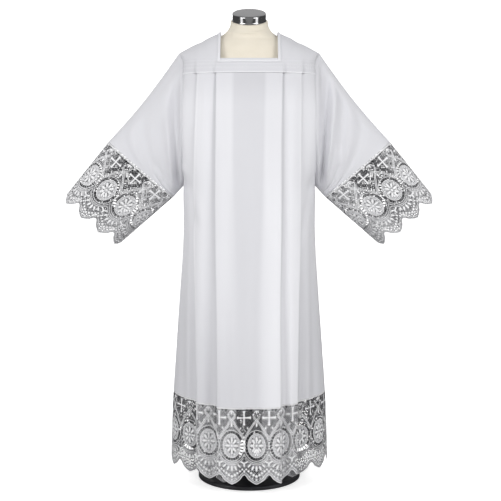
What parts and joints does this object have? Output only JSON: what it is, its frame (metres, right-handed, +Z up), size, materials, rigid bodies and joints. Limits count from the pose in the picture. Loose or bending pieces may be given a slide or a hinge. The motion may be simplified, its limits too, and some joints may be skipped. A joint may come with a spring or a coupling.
{
  "type": "pleated lace-trimmed alb on a dress form",
  "caption": "Ankle-length white vestment with a square neck, knife pleats and deep openwork lace, worn by a limbless dress form on a round base.",
  "frame": {"origin": "on the floor under the middle of the stand's base", "axes": "+X to the wearer's left, +Y to the wearer's back, +Z up; the front faces -Y"},
  "size_m": [1.167, 0.4443, 1.5039],
  "materials": {
    "white_cloth": "matt plain weave with a slight sheen",
    "white_lace": "matt cord and net",
    "cream_jersey": "matt knit",
    "polished_metal": "polished",
    "black_metal": "satin"
  },
  "bodies": {
    "root": {"front_panel": "white_cloth", "back_panel": "white_cloth", "front_band": "white_cloth", "back_band": "white_cloth", "shoulder_yoke": "white_cloth", "neck_binding": "white_cloth", "sleeve_left": "white_cloth", "sleeve_right": "white_cloth", "hem_lace_front": "white_lace", "hem_lace_back": "white_lace", "cuff_lace_left_front": "white_lace", "cuff_lace_left_back": "white_lace", "cuff_lace_right_front": "white_lace", "cuff_lace_right_back": "white_lace", "form_torso": "cream_jersey", "neck_cap": "polished_metal", "stand_pole": "black_metal", "stand_socket": "black_metal", "stand_base": "black_metal"}
  },
  "joints": []
}
